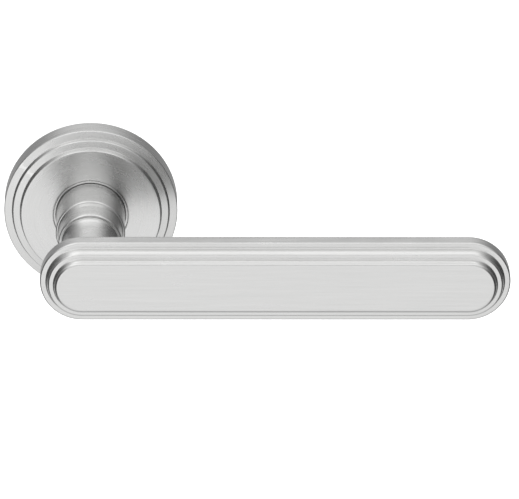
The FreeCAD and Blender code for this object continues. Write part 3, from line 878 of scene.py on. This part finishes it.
class HANDLE_OT_guide_ring(bpy.types.Operator):
    """Turn the thin ring between the neck and the cover"""

    bl_idname = "handle.guide_ring"
    bl_label = "Guide ring"

    def execute(self, context):
        cover = context.scene.handle_rose
        neck = context.scene.handle_neck
        low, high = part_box("guide_ring")
        cover_low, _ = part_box("rose_cover")
        cover_back = -cover_low.y - cover.shell
        flange_front = cover_back + 0.2 * MM
        bore_r = neck.drum_1_radius + cover.ring_gap
        lip_r = cover.hole_radius - cover.ring_lip_gap
        piece = lathe("guide_ring_turning", [
            (bore_r, -high.y, 0.15 * MM),
            (high.x, -high.y, 0.15 * MM),
            (high.x, cover_back),
            (cover.hole_radius, cover_back),
            (cover.hole_radius, flange_front),
            (lip_r, flange_front),
            (lip_r, -low.y, 0.15 * MM),
            (bore_r, -low.y - 0.05 * MM, 0.2 * MM),
        ])
        smooth_shade(piece)
        hand_over(piece, ROSE_BODY, "guide_ring", finish("turned_chrome"))
        return {"FINISHED"}


class HANDLE_OT_return_spring(bpy.types.Operator):
    """Wind the return spring and bend its two legs; it twists between the rose and the lever"""

    bl_idname = "handle.return_spring"
    bl_label = "Return spring"

    def execute(self, context):
        sizes = context.scene.handle_spring
        turned = 2 * FULL_TURN + sizes.start_angle - sizes.end_angle
        rise = sizes.pitch * turned / FULL_TURN
        select_only()
        bpy.ops.mesh.primitive_circle_add(vertices=24, radius=sizes.wire_radius)
        piece = bpy.context.object
        piece.name = piece.data.name = "wound_return_spring"
        bpy.ops.object.mode_set(mode="EDIT")
        bpy.ops.mesh.select_all(action="SELECT")
        bpy.ops.transform.translate(value=(sizes.coil_radius, -sizes.start_height, 0))
        bpy.ops.object.mode_set(mode="OBJECT")
        apply_modifier(piece, "SCREW", axis="Y", angle=turned, screw_offset=-rise, steps=160,
                       render_steps=160)
        piece.rotation_euler.y = -sizes.start_angle
        bpy.ops.object.transform_apply(location=True, rotation=True, scale=True)
        bpy.ops.object.mode_set(mode="EDIT")
        self.bend_leg(piece, sizes, sizes.start_angle, sizes.start_height, -1)
        self.bend_leg(piece, sizes, sizes.end_angle, sizes.start_height + rise, 1)
        finish_edit()
        smooth_shade(piece)
        hand_over_blended(piece)
        return {"FINISHED"}

    def bend_leg(self, piece, sizes, angle, height, leaving):
        """Bend the wire's open end outwards and draw its leg straight."""
        outward = Vector((math.cos(angle), 0, math.sin(angle)))
        start = outward * sizes.coil_radius + Vector((0, -height, 0))
        centre = start + outward * sizes.bend_radius
        along = Vector((outward.z, 0, -outward.x)) * leaving
        reach = sizes.wire_radius + CLOSE

        def at_the_end(place):
            offset = place - start
            return offset.length < reach and abs(offset.dot(along)) < CLOSE

        select_points(piece, at_the_end)
        bpy.ops.mesh.spin(steps=12, angle=-QUARTER * leaving, center=centre, axis=(0, 1, 0))
        extrude_by(outward * (sizes.leg_end - sizes.coil_radius - sizes.bend_radius - 0.2 * MM))
        extrude_by(outward * 0.2 * MM)
        end = centre + along * sizes.bend_radius + outward * (sizes.leg_end - sizes.coil_radius
                                                              - sizes.bend_radius)
        bpy.ops.transform.resize(value=(0.8, 0.8, 0.8), center_override=end)
        bpy.ops.mesh.edge_face_add()


def hand_over_blended(piece):
    """The spring takes its finish, its placement goes into its mesh and its CAD node is hidden; it rides on
    no body, though its fixed leg stays with the rose and its other leg turns with the lever.
    """
    piece.data.materials.clear()
    piece.data.materials.append(finish("spring_steel"))
    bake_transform(piece)
    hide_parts("return_spring")


class HANDLE_OT_spindle(bpy.types.Operator):
    """Model the square spindle with drawn edges and chamfered ends"""

    bl_idname = "handle.spindle"
    bl_label = "Spindle"

    def execute(self, context):
        sizes = context.scene.handle_spindle
        low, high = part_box("spindle")
        side = high.x - low.x
        ends = (low.y + sizes.chamfer, high.y - sizes.chamfer)
        piece = square_bar("spindle_bar", side, -ends[1], -ends[0])
        bpy.ops.object.mode_set(mode="EDIT")
        bpy.ops.mesh.select_mode(type="FACE")
        for end in ends:
            select_faces(piece, lambda place: abs(place.y - end) < CLOSE)
            bpy.ops.mesh.inset(thickness=sizes.chamfer, depth=sizes.chamfer)
        finish_edit()
        apply_modifier(piece, "BEVEL", width=sizes.edge_round, segments=3, limit_method="ANGLE",
                       angle_limit=math.radians(30))
        smooth_shade(piece)
        hand_over(piece, LEVER_BODY, "spindle", finish("drawn_steel"))
        return {"FINISHED"}


class HANDLE_OT_set_screws(bpy.types.Operator):
    """Cut the threads and hexagon sockets of the grub screw and the cover's set screw"""

    bl_idname = "handle.set_screws"
    bl_label = "Set screws"

    def execute(self, context):
        neck = context.scene.handle_neck
        low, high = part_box("spindle_grub_screw")
        self.make("threaded_grub_screw", high.x, 1.0 * MM, high.z - low.z, 3.0 * MM,
                  (0, -neck.grub_height, low.z), LEVER_BODY, "spindle_grub_screw")
        low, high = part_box("cover_set_screw")
        self.make("threaded_set_screw", high.x, 0.5 * MM, high.z - low.z, 1.5 * MM,
                  (0, (low.y + high.y) / 2, low.z), ROSE_BODY, "cover_set_screw")
        return {"FINISHED"}

    def make(self, name, radius, pitch, length, key_size, start, body, node):
        """One headless screw, point upwards, with its socket at its start."""
        piece = thread_rod(name, radius - 0.02 * MM, radius - 0.6 * pitch, pitch, 0, length)
        cut_away(piece, hex_socket(key_size, (0, 0, 0), (0, -1, 0), min(length * 0.55, 3 * MM)))
        place_along(piece, start, (0, 0, 1))
        smooth_shade(piece, 30)
        hand_over(piece, body, node, finish("black_steel"))


class HANDLE_OT_wood_screws(bpy.types.Operator):
    """Model one countersunk wood screw with a helical thread, and copy it to its four places"""

    bl_idname = "handle.wood_screws"
    bl_label = "Wood screws"

    def execute(self, context):
        sizes = context.scene.handle_wood_screws
        low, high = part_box("wood_screws")
        head_top, tip = -low.y, -high.y
        head_r, shank_r, core_r = sizes.head_radius, sizes.shank_radius, sizes.core_radius
        thread_end = tip + sizes.point_length
        plain_end = -sizes.shank_reach
        body = lathe("wood_screw", [
            (0, head_top),
            (head_r, head_top, 0.08 * MM),
            (shank_r, head_top - (head_r - shank_r), 0.3 * MM),
            (shank_r, plain_end),
            (core_r, plain_end - 0.5 * MM),
            (core_r, thread_end),
            (0, tip),
        ], closed=False, steps=40, segments=3)
        thread = thread_rod("thread", shank_r - 0.05 * MM, core_r - 0.02 * MM, sizes.pitch,
                            thread_end + 0.05 * MM, plain_end - 0.2 * MM, steps=32)
        cut_away(body, thread, operation="UNION")
        for turn in (0, QUARTER):
            slot = square_bar("slot", sizes.slot_width, head_top - sizes.slot_depth, head_top + 0.2 * MM)
            slot.scale.x = sizes.slot_length
            slot.rotation_euler.y = turn
            select_only(slot)
            bpy.ops.object.transform_apply(location=True, rotation=True, scale=True)
            cut_away(body, slot)
        smooth_shade(body, 30)
        place_r = (high.z - head_r) / math.sin(sizes.first_angle)
        screws = []
        for number in range(4):
            angle = sizes.first_angle + number * QUARTER
            offset = Vector((place_r * math.cos(angle), 0, place_r * math.sin(angle)))
            screws.append(copy_piece(body, f"wood_screw_{number + 1}", offset))
        bpy.data.meshes.remove(body.data)
        piece = join_pieces("threaded_wood_screws", screws)
        hand_over(piece, ROSE_BODY, "wood_screws", finish("drawn_steel"))
        return {"FINISHED"}


class HANDLE_OT_bolt_posts(bpy.types.Operator):
    """Turn the two flanged bolt posts with their threads"""

    bl_idname = "handle.bolt_posts"
    bl_label = "Bolt posts"

    def execute(self, context):
        sizes = context.scene.handle_bolt_posts
        low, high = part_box("bolt_posts")
        front, back, flange_r = -low.y, -high.y, high.z
        post_r, crest_r, root_r = sizes.post_radius, sizes.crest_radius, sizes.root_radius
        outline = [
            (post_r, back, 0.5 * MM),
            (post_r, sizes.flange_start),
            (flange_r, sizes.flange_start),
            (flange_r, front, 0.2 * MM),
        ]
        crest_height = front - 0.3 * MM
        outline += [(root_r, front), (crest_r, crest_height)]
        while crest_height - sizes.pitch > back + 0.4 * MM:
            outline += [(root_r, crest_height - sizes.pitch / 2), (crest_r, crest_height - sizes.pitch)]
            crest_height -= sizes.pitch
        outline += [(root_r, back)]
        first = lathe("bolt_post", outline, steps=64, segments=4)
        smooth_shade(first, 30)
        place = high.x - flange_r
        posts = [copy_piece(first, f"bolt_post_{side}", Vector((side * place, 0, 0))) for side in (-1, 1)]
        bpy.data.meshes.remove(first.data)
        piece = join_pieces("threaded_bolt_posts", posts)
        hand_over(piece, ROSE_BODY, "bolt_posts", finish("drawn_steel"))
        return {"FINISHED"}


class HANDLE_OT_inner_parts(bpy.types.Operator):
    """Give the parts that keep their CAD shape their finishes"""

    bl_idname = "handle.inner_parts"
    bl_label = "Inner parts"

    finishes = {
        "rose_base": "cast_zinc",
        "bearing_bush": "nylon",
        "thrust_washer": "turned_steel",
        "disc_spring": "spring_steel",
        "circlip": "spring_steel",
        "neck_screw_washer": "spring_steel",
        "drive_ring": "pressed_steel",
        "neck_screw": "black_steel",
        "locating_pins": "drawn_steel",
        "stop_pins": "drawn_steel",
    }

    def execute(self, context):
        for node, finish_name in self.finishes.items():
            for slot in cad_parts[node].material_slots:
                slot.material = finish(finish_name)
        return {"FINISHED"}


class HANDLE_OT_stage(bpy.types.Operator):
    """Set the camera, the pale floor and the soft studio light"""

    bl_idname = "handle.stage"
    bl_label = "Stage"

    # The tent's brightness by height, from 0 straight down over 0.5 level to 1 straight up.
    front_tones = ((0.0, 0.55), (0.10, 0.62), (0.28, 1.06), (0.40, 1.22), (0.45, 1.00), (0.49, 0.20),
                   (0.54, 0.85), (0.72, 0.95), (0.90, 1.40), (0.97, 1.10), (1.0, 0.75))
    back_tones = ((0.0, 0.60), (0.12, 0.60), (0.30, 0.50), (0.45, 0.45), (0.55, 0.38), (0.69, 0.46),
                  (0.82, 1.25), (0.92, 1.50), (0.97, 1.10), (1.0, 0.75))
    side_tones = ((0.0, 0.50), (0.12, 0.20), (0.25, 0.05), (0.50, 0.06), (0.66, 0.15), (0.76, 0.50),
                  (0.90, 1.20), (1.0, 0.75))
    # Where one side of the tent gives way to the next, as parts of a unit direction.
    front_to_side = (0.38, 0.66)
    back_to_side = (0.28, 0.62)
    front_to_back = (-0.25, 0.30)
    back_side_share = 0.45
    left_and_right_light = (1.12, 0.86)
    # A colour ramp holds no grey over 1, so tones are stored as shares of this one.
    brightest_tone = 2.0

    def execute(self, context):
        scene = context.scene
        scene.view_settings.view_transform = "Standard"
        self.make_camera(scene)
        self.make_floor(scene)
        self.make_light(scene)
        return {"FINISHED"}

    def make_camera(self, scene):
        """Long lens, a little above the handle."""
        studio = scene.handle_studio
        azimuth, elevation = studio.azimuth, studio.elevation
        back = Vector((math.sin(azimuth) * math.cos(elevation),
                       -math.cos(azimuth) * math.cos(elevation),
                       math.sin(elevation)))
        select_only()
        bpy.ops.object.camera_add(location=Vector(studio.target) + back * studio.distance)
        camera = bpy.context.object
        camera.name = "studio_camera"
        camera.rotation_mode = "QUATERNION"
        level = (-back).to_track_quat("-Z", "Y")
        camera.rotation_quaternion = Quaternion(back, studio.roll) @ level
        camera.data.lens = studio.lens
        camera.data.sensor_width = 36
        camera.data.clip_end = 50
        scene.camera = camera

    def make_floor(self, scene):
        """Large pale floor."""
        studio = scene.handle_studio
        select_only()
        bpy.ops.mesh.primitive_plane_add(size=60, location=(0, 0, -studio.floor_drop))
        floor = bpy.context.object
        floor.name = "studio_floor"
        floor.visible_glossy = False
        material, tree, shader, coordinates = blank_material("pale_floor")
        grain = noise(tree, coordinates, 2.0, 3.0, 0.5)
        tree.links.new(tint(tree, scene.handle_colours.floor, shift_value(tree, grain, 1.0, 0.01)),
                       shader.inputs["Base Color"])
        shader.inputs["Roughness"].default_value = 0.9
        shader.inputs["Emission Color"].default_value = (1, 1, 1, 1)
        shader.inputs["Emission Strength"].default_value = 0.6
        floor.data.materials.append(material)

    def make_light(self, scene):
        """A light tent: bright above and in front, grey behind, dark low at the sides."""
        world = bpy.data.worlds.new("light_tent")
        scene.world = world
        world.use_nodes = True
        tree = world.node_tree
        tree.nodes.clear()
        output = add_node(tree, "ShaderNodeOutputWorld")
        direction = add_node(tree, "ShaderNodeTexCoord").outputs["Generated"]
        split = add_node(tree, "ShaderNodeSeparateXYZ", {0: direction})
        rise = add_node(tree, "ShaderNodeMapRange", {
            "Value": split.outputs["Z"], "From Min": -1.0,
        }).outputs[0]
        front = self.ramp(tree, rise, self.front_tones)
        behind = self.ramp(tree, rise, self.back_tones)
        side = self.ramp(tree, rise, self.side_tones)
        sideways = math_node(tree, "ABSOLUTE", split.outputs["X"])
        before = self.mix(tree, self.smooth_step(tree, sideways, *self.front_to_side), front, side)
        dimmer = self.smooth_step(tree, sideways, *self.back_to_side)
        aside = math_node(tree, "MULTIPLY", behind, self.back_side_share)
        behind = self.mix(tree, dimmer, behind, aside)
        share = self.smooth_step(tree, split.outputs["Y"], *self.front_to_back)
        lit = self.mix(tree, share, before, behind)
        left, right = self.left_and_right_light
        from_left = add_node(tree, "ShaderNodeMapRange", {
            "Value": split.outputs["X"], "From Min": -0.6, "From Max": 0.6, "To Min": left, "To Max": right,
        }).outputs[0]
        strength = math_node(tree, "MULTIPLY", from_left, scene.handle_studio.light)
        background = add_node(tree, "ShaderNodeBackground", {"Color": lit, "Strength": strength})
        tree.links.new(background.outputs[0], output.inputs["Surface"])

    def smooth_step(self, tree, value, start, end):
        """Smooth rise from 0 at one value to 1 at another."""
        return add_node(tree, "ShaderNodeMapRange", {"Value": value, "From Min": start, "From Max": end},
                        interpolation_type="SMOOTHSTEP").outputs[0]

    def mix(self, tree, share, first, second):
        """Grey between two greys."""
        return add_node(tree, "ShaderNodeMix", {"Factor": share, "A": first, "B": second},
                        data_type="FLOAT").outputs[0]

    def ramp(self, tree, value, stops):
        """Smooth curve of grey through (place, grey) stops."""
        node = add_node(tree, "ShaderNodeValToRGB", {"Fac": value})
        node.color_ramp.interpolation = "EASE"
        elements = node.color_ramp.elements
        while len(elements) < len(stops):
            elements.new(1.0)
        for element, (place, grey) in zip(elements, stops):
            element.position = place
            stored = grey / self.brightest_tone
            element.color = (stored, stored, stored, 1)
        return math_node(tree, "MULTIPLY", node.outputs["Color"], self.brightest_tone)


class HANDLE_PT_panel(bpy.types.Panel):
    """Lists the handle's pieces in the 3D view's sidebar"""

    bl_idname = "HANDLE_PT_panel"
    bl_label = "Lever handle"
    bl_space_type = "VIEW_3D"
    bl_region_type = "UI"
    bl_category = "Handle"

    def draw(self, context):
        for operator in PIECE_OPERATORS:
            self.layout.operator(operator.bl_idname)


PIECE_OPERATORS = (
    HANDLE_OT_grip,
    HANDLE_OT_neck,
    HANDLE_OT_rose_cover,
    HANDLE_OT_guide_ring,
    HANDLE_OT_return_spring,
    HANDLE_OT_spindle,
    HANDLE_OT_set_screws,
    HANDLE_OT_wood_screws,
    HANDLE_OT_bolt_posts,
    HANDLE_OT_inner_parts,
    HANDLE_OT_stage,
)
CLASSES = (*PROPERTY_GROUPS.values(), *PIECE_OPERATORS, HANDLE_PT_panel)


def register():
    """Make the classes known to Blender and hang the sizes and colours on the scene."""
    for cls in CLASSES:
        bpy.utils.register_class(cls)
    for name, group in PROPERTY_GROUPS.items():
        setattr(bpy.types.Scene, name, PointerProperty(type=group))


def unregister():
    """Undo register."""
    for name in PROPERTY_GROUPS:
        delattr(bpy.types.Scene, name)
    for cls in reversed(CLASSES):
        bpy.utils.unregister_class(cls)


def main():
    """Build every piece and the stage."""
    register()
    for operator in PIECE_OPERATORS:
        group, name = operator.bl_idname.split(".")
        getattr(getattr(bpy.ops, group), name)()
    select_only()


if __name__ == "__main__":
    main()
